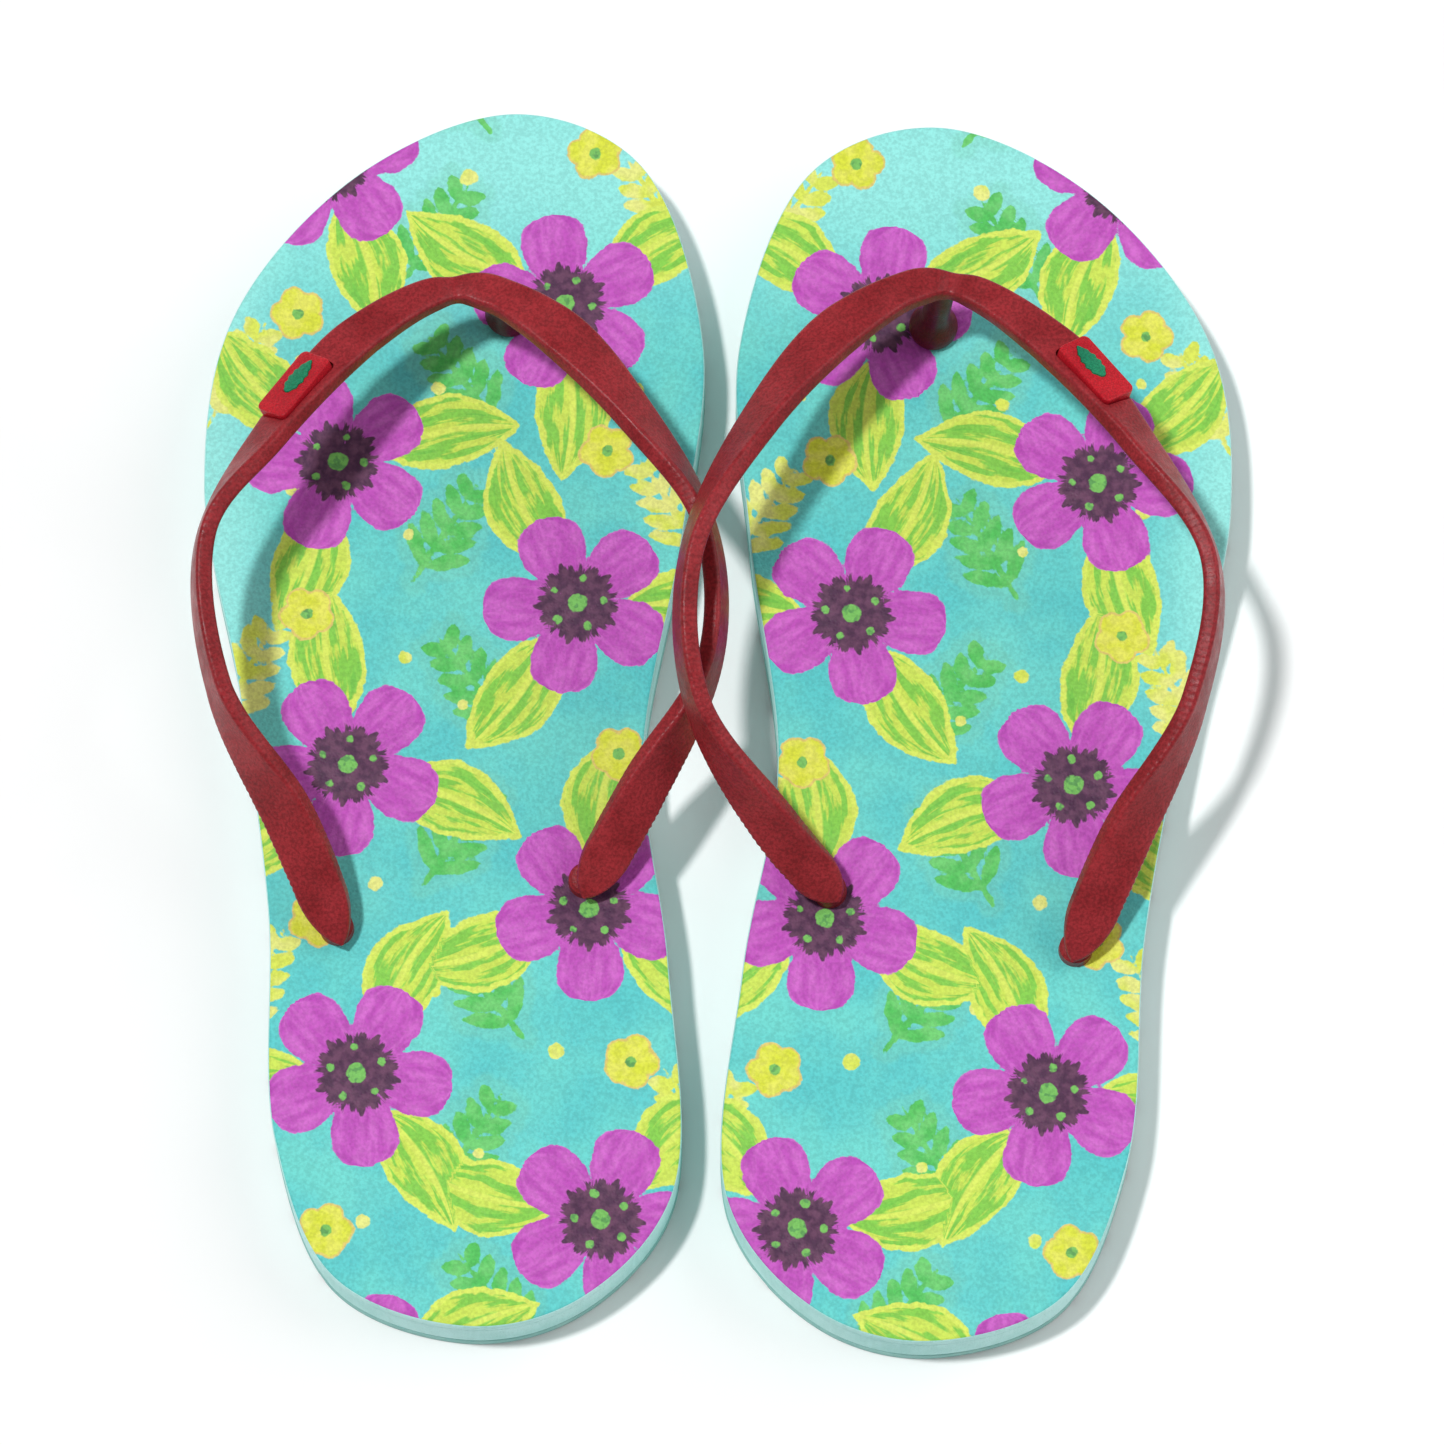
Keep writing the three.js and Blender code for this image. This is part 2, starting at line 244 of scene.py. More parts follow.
def sole_layer(inset, rim, bottom, top, columns):
    """A sole layer with rounded edges: a grid on top, rings down the side, strips below."""
    outer, outer_normal, inner, inner_normal = sole_sides(inset + rim)
    share = np.linspace(0, 1, columns)[None, :, None]
    cap = outer[:, None] * (1 - share) + inner[:, None] * share
    cap = np.concatenate([cap, np.full(cap.shape[:2] + (1,), top)], axis=2).reshape(-1, 3)
    rows = len(outer)
    faces = [face[::-1] for face in grid_faces(rows, columns)]
    ring = [j * columns for j in range(rows)] + [j * columns + columns - 1 for j in range(rows - 2, 0, -1)]
    base = np.vstack([outer, inner[rows - 2:0:-1]])
    normals = np.vstack([outer_normal, inner_normal[rows - 2:0:-1]])
    turns = np.linspace(0, math.pi / 2, 5)[1:]
    profile = [(rim * math.sin(a), top - rim * (1 - math.cos(a))) for a in turns]
    profile += [(rim, z) for z in np.linspace(top - rim, bottom + rim, 8)[1:-1]]
    profile += [(rim * math.cos(a), bottom + rim * (1 - math.sin(a))) for a in np.linspace(0, math.pi / 2, 5)]
    points, previous = [cap], ring
    count = len(cap)
    for out, z in profile:
        loop = base + normals * out
        points.append(np.column_stack([loop, np.full(len(loop), z)]))
        current = list(range(count, count + len(loop)))
        count += len(loop)
        for k in range(len(loop)):
            n = (k + 1) % len(loop)
            faces.append((previous[k], previous[n], current[n], current[k]))
        previous = current
    outer_ring = previous[:rows]
    inner_ring = [previous[0]] + previous[:rows - 1:-1] + [previous[rows - 1]]
    faces.append((outer_ring[0], inner_ring[1], outer_ring[1]))
    for j in range(1, rows - 2):
        faces.append((outer_ring[j], inner_ring[j], inner_ring[j + 1], outer_ring[j + 1]))
    faces.append((outer_ring[rows - 2], inner_ring[rows - 2], outer_ring[rows - 1]))
    return np.vstack(points), faces


def tidy(piece):
    """Merges the points that meet at the heel and the toe, and turns every face outward."""
    mesh = bmesh.new()
    mesh.from_mesh(piece.data)
    bmesh.ops.remove_doubles(mesh, verts=mesh.verts, dist=1e-7)
    bmesh.ops.recalc_face_normals(mesh, faces=mesh.faces)
    mesh.to_mesh(piece.data)
    mesh.free()

# ---------------------------------------------------------------- the printed pattern
#
# A tropical print laid out by rule, in two half-drop columns. Every cell holds one open flower over three
# leaves, a small posy and two fern sprigs, and turns on from the cell before by the same angle; dots fill in
# along a spiral. Each kind of mark is kept as a distance to its edge in millimetres, negative inside, at
# every point of the footbed; the material turns the distances into paint.

FAR = 50.0
MARKS = ("pale", "straw", "leaf", "bloom", "petal", "heart")
SHADES = ("leaf_along", "leaf_across", "petal_dark", "petal_along", "petal_across")

SPIRAL_TURN = 137.5
CELL_COLUMN = 23.0
CELL_LENGTH = 62.0
CELL_ROWS = 5
FIRST_ROW = -11.0

PETALS = 5
PETAL_LENGTH = 18.5
PETAL_HALF = 6.6
DARK_SHARE = 0.46
THROAT = 4.2
HEART_RADIUS = 1.9
ANTHER_RING = 5.2
ANTHER_RADIUS = 0.8
LEAVES = 3
LEAF_TURN = 24
LEAF_START = 9.0
LEAF_END = 37.0
LEAF_HALF = 7.6
LEAF_BEND = 2.0
POSY_RADIUS = 5.6
POSY_SHIFT = 7.0
FERN_LENGTH = 25.0
FERN_PAIRS = 5
FERN_LEAN = 48
LEAFLET_LENGTH = 10.5
LEAFLET_TAPER = 6
# ink, then how far from the flower across and along a cell, and the lean from upright
FERNS = (("pale", -1.1, 0.25, -35), ("straw", 0.85, 0.3, 30))
DOTS = 70
DOT_SPREAD = 15.0


def blade(at, base, tip, half, swell=0.62, thin=0.9, bend=0.0):
    """A pointed shape: the distance to its edge, the share along it, and the place across it from -1 to 1."""
    base, tip = np.array(base, float), np.array(tip, float)
    length = np.linalg.norm(tip - base)
    along = (tip - base) / length
    offset = at - base
    share = offset @ along / length
    inside = np.clip(share, 1e-3, 1 - 1e-3)
    side = offset @ np.array([-along[1], along[0]]) - 4 * bend * inside * (1 - inside)
    peak = swell / (swell + thin)
    width = half * inside**swell * (1 - inside) ** thin / (peak**swell * (1 - peak) ** thin)
    slope = np.clip(width * (swell / inside - thin / (1 - inside)) / length, -1.5, 1.5)
    distance = (np.abs(side) - width) / np.sqrt(1 + slope**2)
    beyond = np.maximum(share - 1, -share) * length
    outside = np.hypot(beyond, np.maximum(np.abs(side) - width, 0))
    return np.where(beyond > 0, outside, distance), inside, side / np.maximum(width, 0.3)


def disc(at, centre, radius):
    return np.linalg.norm(at - centre, axis=1) - radius


def heading(degrees):
    return np.array([math.cos(math.radians(degrees)), math.sin(math.radians(degrees))])


def artwork(at):
    """Every mark of the print at the given points: distances by kind, shades inside leaves and petals, and a
    share of painted light that lightens the ground at the outer edge and the toe.
    """
    art = {name: np.full(len(at), FAR) for name in MARKS}
    art.update({name: np.zeros(len(at)) for name in SHADES})

    def stamp(kind, distance, **shades):
        closer = distance < art[kind]
        art[kind][closer] = distance[closer]
        for name, value in shades.items():
            art[name][closer] = value[closer]

    def leaf(centre, turn, seed):
        base, tip = centre + heading(turn) * LEAF_START, centre + heading(turn) * LEAF_END
        length = LEAF_END - LEAF_START
        distance, share, across = blade(at, base, tip, LEAF_HALF, 0.8, 1.0, LEAF_BEND)
        stamp("leaf", distance, leaf_along=(share + 3 * seed) * length, leaf_across=across)

    def flower(centre, turn):
        for k in range(PETALS):
            tip = centre + heading(turn + 360 * k / PETALS) * PETAL_LENGTH
            distance, share, across = blade(at, centre, tip, PETAL_HALF, 0.9, 0.4)
            dark = (DARK_SHARE - share - 0.14 * np.abs(across)) * 5
            along, across = share * PETAL_LENGTH, across * PETAL_HALF
            stamp("petal", distance, petal_dark=dark, petal_along=along, petal_across=across)
        stamp("petal", disc(at, centre, THROAT), petal_dark=np.ones(len(at)))
        stamp("heart", disc(at, centre, HEART_RADIUS))
        for k in range(PETALS):
            anther = centre + heading(turn + 360 * (k + 0.5) / PETALS) * ANTHER_RING
            stamp("heart", disc(at, anther, ANTHER_RADIUS))

    def posy(centre, turn):
        for k in range(PETALS):
            lobe = centre + heading(turn + 360 * k / PETALS) * 0.5 * POSY_RADIUS
            stamp("bloom", disc(at, lobe, 0.5 * POSY_RADIUS))
        stamp("heart", disc(at, centre, 0.2 * POSY_RADIUS))

    def fern(kind, centre, turn):
        root = centre - heading(turn) * FERN_LENGTH / 2
        stamp(kind, blade(at, root, root + heading(turn) * FERN_LENGTH, 0.7, 0.3, 0.6)[0])
        for k in range(FERN_PAIRS):
            share = (k + 1) / (FERN_PAIRS + 1)
            joint = root + heading(turn) * FERN_LENGTH * share
            for lean in (-FERN_LEAN, FERN_LEAN):
                tip = joint + heading(turn + lean) * (LEAFLET_LENGTH - LEAFLET_TAPER * share)
                stamp(kind, blade(at, joint, tip, 1.5, 0.7, 0.7)[0])

    cell = 0
    for row in range(CELL_ROWS):
        for column in (-1, 1):
            drop = CELL_LENGTH / 2 if column > 0 else 0
            centre = np.array([column * CELL_COLUMN, FIRST_ROW + CELL_LENGTH * row + drop])
            turn = SPIRAL_TURN * cell
            flower(centre, turn)
            for k in range(LEAVES):
                leaf(centre, turn + LEAF_TURN + 360 * k / LEAVES, cell + k)
            posy(centre + (POSY_SHIFT * column, 0.5 * CELL_LENGTH), turn)
            for ink, across, along, lean in FERNS:
                fern(ink, centre + (across * column * CELL_COLUMN, along * CELL_LENGTH), 90 + lean * column)
            cell += 1
    for k in range(DOTS):
        spot = np.array([0, 2 * CELL_LENGTH]) + heading(SPIRAL_TURN * k) * DOT_SPREAD * math.sqrt(k)
        stamp("straw", disc(at, spot, 1.1 + 0.3 * (k % 3)))
    # painted light: the ground is lightened toward the outer edge and the toe, where the lamp lights it more
    # brightly
    outer_edge = smooth_step(-28, -50, at[:, 0]) * smooth_step(110, 150, at[:, 1])
    art["painted_light"] = np.clip(outer_edge + 0.9 * smooth_step(190, 238, at[:, 1]), 0, 1)
    return art


# ---------------------------------------------------------------- materials


def linear(red, green, blue):
    """An sRGB colour, 0 to 255, as Blender's linear one."""
    shares = [value / 255 for value in (red, green, blue)]
    return tuple(v / 12.92 if v <= 0.04045 else ((v + 0.055) / 1.055) ** 2.4 for v in shares) + (1,)


def put(tree, kind, inputs=None, **settings):
    """A shader node with its settings and inputs, where an input is a value or another node's output."""
    node = tree.nodes.new(kind)
    for name, value in settings.items():
        setattr(node, name, value)
    for name, value in (inputs or {}).items():
        if isinstance(value, bpy.types.NodeSocket):
            tree.links.new(value, node.inputs[name])
        else:
            node.inputs[name].default_value = value
    return node


def sums(tree, operation, *values):
    return put(tree, "ShaderNodeMath", dict(enumerate(values)), operation=operation).outputs[0]


def mix(tree, share, below, above):
    return put(tree, "ShaderNodeMix", {0: share, 6: below, 7: above}, data_type="RGBA").outputs[2]


def between(tree, value, low, high, start=0.0, end=1.0):
    """The value mapped from low..high onto start..end, with soft ends."""
    values = {"Value": value, 1: low, 2: high, 3: start, 4: end}
    return put(tree, "ShaderNodeMapRange", values, interpolation_type="SMOOTHSTEP").outputs[0]


def noise(tree, place, size, detail=2.0, roughness=0.5):
    """Noise from 0 to 1 whose grains are about size millimetres across, where place is in metres."""
    values = {"Vector": place, "Scale": 1 / (size * MM), "Detail": detail, "Roughness": roughness}
    return put(tree, "ShaderNodeTexNoise", values).outputs["Fac"]


def cells(tree, place, size):
    values = {"Vector": place, "Scale": 1 / (size * MM)}
    return put(tree, "ShaderNodeTexVoronoi", values).outputs["Distance"]


def attribute(tree, name):
    return put(tree, "ShaderNodeAttribute", attribute_name=name).outputs["Fac"]


def material(name, **constants):
    """A new material with constants on its shader, as its tree, its shader and its place socket."""
    made = bpy.data.materials.new(name)
    made.use_nodes = True
    tree = made.node_tree
    shader = tree.nodes["Principled BSDF"]
    for socket, value in constants.items():
        shader.inputs[socket.replace("_", " ")].default_value = value
    place = put(tree, "ShaderNodeTexCoord").outputs["Object"]
    return made, tree, shader, place


def finish(tree, shader, colour, roughness, bump, distance, strength=1.0):
    tree.links.new(colour, shader.inputs["Base Color"])
    tree.links.new(roughness, shader.inputs["Roughness"])
    values = {"Height": bump, "Distance": distance * MM, "Strength": strength}
    tree.links.new(put(tree, "ShaderNodeBump", values).outputs["Normal"], shader.inputs["Normal"])


def rubber(name, deep, light, grain, roughness, rim):
    """Moulded rubber: mottled and finely grained; where the rim attribute is high it is lighter, partly from
    wear and partly a painted highlight, and where the shade attribute is high it is darkened as painted
    shade.
    """
    made, tree, shader, place = material(name, Specular_IOR_Level=0.22)
    broad = noise(tree, place, 9, 3)
    fine = noise(tree, place, grain, 3, 0.65)
    colour = mix(tree, between(tree, broad, 0.3, 0.7, 0.1, 0.9), linear(*deep), linear(*light))

    speckle = between(tree, fine, 0.34, 0.66, 0.74, 1.24)
    colour = put(tree, "ShaderNodeVectorMath", {0: colour, "Scale": speckle}, operation="SCALE").outputs[0]
    if rim:
        # partly wear, partly painted highlight: the rim attribute lightens the strap's upper edges and a spot
        # on top at the waist
        patchy = between(tree, noise(tree, place, 2.2, 3), 0.3, 0.7, 0, 0.3)
        wear_and_highlight = sums(tree, "MULTIPLY", attribute(tree, "rim"), patchy)
        colour = mix(tree, wear_and_highlight, colour, linear(*[min(255, value + 26) for value in light]))
        # painted shade: where the shade attribute is 1, on the toe post, the colour turns toward deep maroon
        # for the shadow under the yoke
        colour = mix(tree, sums(tree, "MULTIPLY", attribute(tree, "shade"), 0.65), colour, linear(58, 14, 24))
    wear = between(tree, noise(tree, place, 3.5, 3), 0.3, 0.7, roughness - 0.07, roughness + 0.1)
    if rim:
        wear = sums(tree, "SUBTRACT", wear, sums(tree, "MULTIPLY", attribute(tree, "rim"), 0.14))
    finish(tree, shader, colour, wear, fine, 0.09)
    return made


def foam(name, shade, light):
    """Closed-cell foam cut at the edge: open pores, soft blotches and the knife's faint upright lines."""
    made, tree, shader, place = material(name, Specular_IOR_Level=0.3, Sheen_Weight=0.12, Sheen_Roughness=0.6)
    broad = noise(tree, place, 14, 4)
    pores = cells(tree, place, 0.55)
    fine = noise(tree, place, 0.35, 2, 0.7)
    squeeze = {"Vector": place, "Scale": (1, 1, 0.12)}
    flattened = put(tree, "ShaderNodeMapping", squeeze, vector_type="POINT").outputs[0]
    drag = noise(tree, flattened, 1.1, 2)
    colour = mix(tree, between(tree, broad, 0.3, 0.7), linear(*shade), linear(*light))
    darker = linear(*[value - 34 for value in shade])
    paler = linear(*[min(255, value + 18) for value in light])
    colour = mix(tree, between(tree, pores, 0.1, 0.32, 0.35, 0), colour, darker)
    colour = mix(tree, between(tree, drag, 0.35, 0.75, 0, 0.25), colour, paler)
    grain = sums(tree, "MULTIPLY", sums(tree, "ADD", fine, drag), 0.5)
    height = sums(tree, "ADD", between(tree, pores, 0, 0.45), grain)
    finish(tree, shader, colour, between(tree, fine, 0.3, 0.7, 0.62, 0.82), height, 0.1)
    return made


def tread_rubber():
    """The outsole's dense rubber: smoother than the foam, scuffed, and darker and greyer in patches within
    1.5 mm of the ground.
    """
    made, tree, shader, place = material("tread_rubber", Specular_IOR_Level=0.4)
    fine = noise(tree, place, 0.4, 3, 0.6)
    scuff = noise(tree, place, 6, 5, 0.7)
    colour = mix(tree, between(tree, scuff, 0.35, 0.7), linear(128, 190, 184), linear(158, 208, 200))
    height = put(tree, "ShaderNodeSeparateXYZ", {0: place}).outputs["Z"]
    # darker and greyer in patches in the lowest 1.5 mm
    greyer_near_ground = sums(tree, "MULTIPLY", between(tree, height, 1.5 * MM, 0, 0, 0.4), between(tree, scuff, 0.45, 0.6))
    colour = mix(tree, greyer_near_ground, colour, linear(120, 140, 134))
    finish(tree, shader, colour, between(tree, scuff, 0.3, 0.7, 0.5, 0.72), fine, 0.06)
    return made


def printed_foam():
    """The footbed's printed skin, from the artwork's distances: flat inks, brushed edges and a fine grain."""
    made, tree, shader, place = material(
        "printed_foam", Specular_IOR_Level=0.3, Sheen_Weight=0.05, Sheen_Roughness=0.6
    )
    wobble = sums(tree, "MULTIPLY", sums(tree, "SUBTRACT", noise(tree, place, 2.4, 3, 0.6), 0.5), 1.5)
    coarse = sums(tree, "MULTIPLY", sums(tree, "SUBTRACT", noise(tree, place, 5, 3, 0.6), 0.5), 3.2)
    mottle = noise(tree, place, 16, 3)
    fine = noise(tree, place, 0.5, 2, 0.7)

    def inside(kind, rough=wobble, soft=0.14, inset=0.0):
        """1 inside the marks of a kind, drawn in by inset, and 0 outside them."""
        edge = sums(tree, "ADD", attribute(tree, kind), rough)
        return between(tree, edge, -inset + soft, -inset - soft)

    def streaks(along, across, length, width, seed):
        """Noise drawn out along a leaf or a petal."""
        down = sums(tree, "MULTIPLY", along, 1 / length)
        values = {0: down, 1: sums(tree, "MULTIPLY", across, 1 / width), 2: seed}
        place_there = put(tree, "ShaderNodeCombineXYZ", values).outputs[0]
        inputs = {"Vector": place_there, "Scale": 1.0, "Detail": 3.0}
        return put(tree, "ShaderNodeTexNoise", inputs).outputs["Fac"]

    ground = mix(tree, between(tree, mottle, 0.3, 0.7), linear(84, 198, 199), linear(110, 214, 205))
    # painted light: lightens the ground toward the outer edge and the toe
    ground = mix(tree, attribute(tree, "painted_light"), ground, linear(150, 232, 225))
    wash = sums(tree, "MULTIPLY", inside("pale", coarse, 0.9, -2.2), 0.35)
    colour = mix(tree, wash, ground, linear(120, 205, 180))
    cloudy = between(tree, noise(tree, place, 4, 3), 0.35, 0.65)
    pale = mix(tree, cloudy, linear(78, 190, 88), linear(112, 206, 114))
    colour = mix(tree, inside("pale"), colour, pale)
    cloudy = between(tree, noise(tree, place, 6, 2), 0.35, 0.6)
    straw = mix(tree, cloudy, linear(214, 228, 84), linear(228, 232, 132))
    colour = mix(tree, inside("straw"), colour, straw)

    along, across = attribute(tree, "leaf_along"), attribute(tree, "leaf_across")
    slanted = sums(tree, "SUBTRACT", along, sums(tree, "MULTIPLY", sums(tree, "ABSOLUTE", across), 5.0))
    veins = streaks(slanted, across, 10.5, 0.26, 0.0)
    blade_green = mix(tree, between(tree, veins, 0.45, 0.53), linear(202, 226, 86), linear(132, 204, 74))
    blade_green = mix(tree, between(tree, veins, 0.62, 0.68, 0, 0.5), blade_green, linear(98, 188, 66))
    wavy = sums(tree, "ADD", wobble, sums(tree, "MULTIPLY", coarse, 0.4))
    colour = mix(tree, inside("leaf", wavy), colour, linear(214, 232, 96))
    off_rib = between(tree, sums(tree, "ABSOLUTE", across), 0.05, 0.12)
    body = sums(tree, "MULTIPLY", inside("leaf", coarse, 0.2, 1.1), off_rib)
    colour = mix(tree, body, colour, blade_green)

    cloudy = between(tree, noise(tree, place, 3, 2), 0.35, 0.65)
    bloom = mix(tree, cloudy, linear(214, 222, 56), linear(226, 228, 92))
    colour = mix(tree, inside("bloom"), colour, linear(222, 200, 110))
    colour = mix(tree, inside("bloom", wobble, 0.2, 0.45), colour, bloom)

    along, across = attribute(tree, "petal_along"), attribute(tree, "petal_across")
    brushed = streaks(along, across, 6.0, 1.9, 3.7)
    magenta = mix(tree, between(tree, brushed, 0.3, 0.7), linear(184, 70, 180), linear(206, 102, 200))
    colour = mix(tree, inside("petal"), colour, magenta)
    jagged = sums(tree, "MULTIPLY", sums(tree, "SUBTRACT", brushed, 0.5), 2.2)
    dark = between(tree, sums(tree, "ADD", attribute(tree, "petal_dark"), jagged), -0.08, 0.12)
    cloudy = between(tree, noise(tree, place, 2, 2), 0.35, 0.65)
    throat = mix(tree, cloudy, linear(74, 36, 70), linear(104, 62, 92))
    colour = mix(tree, sums(tree, "MULTIPLY", dark, inside("petal", wobble, 0.15, 0.3)), colour, throat)

    cloudy = between(tree, noise(tree, place, 1.2, 1), 0.5, 0.62)
    heart = mix(tree, cloudy, linear(118, 190, 92), linear(92, 158, 84))
    colour = mix(tree, inside("heart", wobble, 0.15), colour, heart)
    speckle = between(tree, noise(tree, place, 0.65, 1, 0.5), 0.25, 0.75, 0.88, 1.1)
    colour = put(tree, "ShaderNodeVectorMath", {0: colour, "Scale": speckle}, operation="SCALE").outputs[0]
    inked = between(tree, noise(tree, place, 8, 3), 0.3, 0.7, 0.5, 0.66)
    height = sums(tree, "ADD", fine, between(tree, cells(tree, place, 0.8), 0, 0.5))
    finish(tree, shader, colour, inked, height, 0.05)
    return made


def floor_paint():
    made, tree, shader, place = material("floor", Specular_IOR_Level=0.1)
    broad = noise(tree, place, 60, 3)
    colour = mix(tree, between(tree, broad, 0.3, 0.7), linear(249, 249, 249), linear(252, 252, 252))
    finish(tree, shader, colour, between(tree, broad, 0.3, 0.7, 0.85, 0.95), noise(tree, place, 1.5, 2), 0.02)
    return made

# ---------------------------------------------------------------- strap

STRAP_RINGS = 1500
SECTION_CORNER = 0.85
CROWN = 0.12
TOOTH_PITCH = 1.4
TOOTH_DEPTH = 0.32
STRAP_CLEARANCE = 0.3
WAIST_AT = 0.493
SHOULDER_AT = 0.522
WAIST_DIP = 0.7
CORNER_POINTS = 5
TOP_POINTS = 13
BOTTOM_POINTS = 5
STEM_FILLET = 0.8


def strap_line(side, share):
    """The middle of a strap, its directions along, across (inward) and out of its face, and its section."""
    route = STRAP_ROUTE[side]
    centre = spline(route, share)
    step = 1e-4
    along = unit(spline(route, np.minimum(share + step, 1)) - spline(route, np.maximum(share - step, 0)))
    width, thickness, lean = spline(OUTER_SECTION[:0:-1] + INNER_SECTION, share).T[:, :, None]
    outward = unit(np.column_stack([-along[:, 1], along[:, 0], np.zeros(len(share))]))
    upright = np.cross(along, outward)
    lean = np.radians(lean)
    face = upright * np.cos(lean) + outward * np.sin(lean)
    return centre, along, np.cross(along, face), face, width, thickness


def strap_section(width, thickness, teeth):
    """Points round a flat section with small round corners, a crowned top and toothed edges, ring by ring."""
    corner = np.minimum(SECTION_CORNER, 0.45 * np.minimum(width, thickness))
    half_width, half_height = width / 2 - corner, thickness / 2 - corner
    # rim rises from 0 to 1 toward the upper edges; the rubber lightens it there, partly as wear and partly as
    # a painted highlight
    across, up, rim = [], [], []

    def arc(side_x, side_z, start):
        for turn in np.radians(np.linspace(start, start + 90, CORNER_POINTS)):
            notch = teeth * abs(math.cos(turn)) * (1 if side_x < 0 else 0.3)
            across.append(side_x * half_width + corner * math.cos(turn) - side_x * notch)
            up.append(side_z * half_height + corner * math.sin(turn))
            rim.append(np.full_like(width, max(0.0, math.sin(turn)) if side_z > 0 else 0.0))

    def flat(side_z, places, crown):
        for place in places:
            across.append(place * half_width)
            up.append(side_z * (half_height + corner) + crown * (1 - place**2))
            rim.append(np.full_like(width, max(0.0, abs(place) * 4 - 3) if side_z > 0 else 0.0))

    arc(1, -1, -90)
    arc(1, 1, 0)
    flat(1, np.linspace(1, -1, TOP_POINTS + 2)[1:-1], CROWN * width / 10)
    arc(-1, 1, 90)
    arc(-1, -1, 180)
    flat(-1, np.linspace(-1, 1, BOTTOM_POINTS + 2)[1:-1], 0 * width)
    return np.hstack(across), np.hstack(up), np.hstack(rim)


def strap_body(side):
    """The Y's two arms as one swept skin: narrow over the toe post, toothed edges, its ends rounded off."""
    share = (1 - np.cos(np.pi * np.arange(STRAP_RINGS) / (STRAP_RINGS - 1))) / 2
    share = 0.35 * share + 0.65 * np.linspace(0, 1, STRAP_RINGS)
    centre, _, across, face, width, thickness = strap_line(side, share)
    end = np.clip(np.minimum(share, 1 - share) / END_ROUNDING, 0, 1)
    size = np.maximum((1 - (1 - end) ** 2) ** 0.62, 0.08)[:, None]
    travelled = np.append(0, np.cumsum(np.linalg.norm(np.diff(centre, axis=0), axis=1)))
    from_yoke = np.abs(share - 0.5)
    present = smooth_step(0.17, 0.21, from_yoke) * (1 - smooth_step(0.45, 0.48, from_yoke))
    saw = np.abs(2 * ((travelled / TOOTH_PITCH) % 1) - 1)
    uneven = 0.8 + 0.2 * np.sin(travelled * 0.9 + 1.3)
    teeth = (TOOTH_DEPTH * saw * uneven * present)[:, None]
    dip = WAIST_DIP * np.exp(-(((share - WAIST_AT) / 0.009) ** 2))[:, None]
    waist = 1 - 0.15 * np.exp(-(((share - WAIST_AT) / 0.012) ** 2))
    waist += 0.09 * np.exp(-(((share - SHOULDER_AT) / 0.012) ** 2))
    x, z, rim = strap_section(width * size * waist[:, None], thickness * (0.45 + 0.55 * size), teeth)
    # painted highlight: a bright spot on the top face at the waist
    waist_highlight = np.exp(-(((share - WAIST_AT) / 0.006) ** 2))[:, None]
    rim = np.maximum(0.6 * rim, waist_highlight * np.clip(z, 0, 1))
    z = z - dip * np.clip(z, 0, 1)
    points = centre[:, None] + across[:, None] * x[:, :, None] + face[:, None] * z[:, :, None]
    columns = points.shape[1]
    points = points.reshape(-1, 3)
    faces = grid_faces(STRAP_RINGS, columns, wrap=True)
    first, last = len(points), len(points) + 1
    points = np.vstack([points, points[:columns].mean(0), points[-columns:].mean(0)])
    final = (STRAP_RINGS - 1) * columns
    faces += [(first, (k + 1) % columns, k) for k in range(columns)]
    faces += [(last, final + k, final + (k + 1) % columns) for k in range(columns)]
    points[:, 2] = np.maximum(points[:, 2], SOLE_TOP + STRAP_CLEARANCE)
    return points, faces, np.append(rim.reshape(-1), [0, 0])


def turned_tube(path, radii, sides):
    """A closed round tube through the points of a path, with a radius at each."""
    path, radii = np.array(path, float), np.array(radii, float)
    along = unit(np.gradient(path, axis=0))
    right = unit(np.cross(along, (0.0, 1.0, 0.0)))
    back = np.cross(along, right)
    turns = np.arange(sides) * 2 * np.pi / sides
    ring = right[:, None] * np.cos(turns)[None, :, None] + back[:, None] * np.sin(turns)[None, :, None]
    points = (path[:, None] + ring * radii[:, None, None]).reshape(-1, 3)
    faces = grid_faces(len(path), sides, wrap=True)
    faces.append(tuple(range(sides)))
    faces.append(tuple(range((len(path) - 1) * sides, len(path) * sides))[::-1])
    return points, faces


def lathe(middle, profile, sides):
    """A solid turned about an upright axis, from radii and heights that start and end on it."""
    turns = np.arange(sides) * 2 * np.pi / sides
    centre_x, centre_y = middle
    rings = profile[1:-1]
    points = np.array([
        (centre_x + r * math.cos(a), centre_y + r * math.sin(a), z) for r, z in rings for a in turns
    ])
    faces = grid_faces(len(rings), sides, wrap=True)
    low, high = len(points), len(points) + 1
    points = np.vstack([points, (*middle, profile[0][1]), (*middle, profile[-1][1])])
    final = (len(rings) - 1) * sides
    faces += [(low, (k + 1) % sides, k) for k in range(sides)]
    faces += [(high, final + k, final + (k + 1) % sides) for k in range(sides)]
    return points, faces


def toe_post(side):
    """The post from the plug up to the yoke, with a slight collar where it leaves the footbed."""
    x, y, z = strap_line(side, np.array([0.5, 0.5]))[0][0]
    z -= 0.9
    hole_x, hole_y = TOE_HOLE
    route = [
        (hole_x, hole_y, OUTSOLE_TOP), (hole_x, hole_y, SOLE_TOP),
        ((2 * hole_x + x) / 3, (2 * hole_y + y) / 3, (SOLE_TOP + z) / 2), (x, y, z),
    ]
    share = np.linspace(0, 1, 48)
    collar = 1.9 * np.exp(-(((share - 0.38) / 0.12) ** 2)) * (share > 0.32)
    return turned_tube(spline(route, share), STEM_RADIUS - POST_TAPER * share + collar - 0.3 * share, 40)


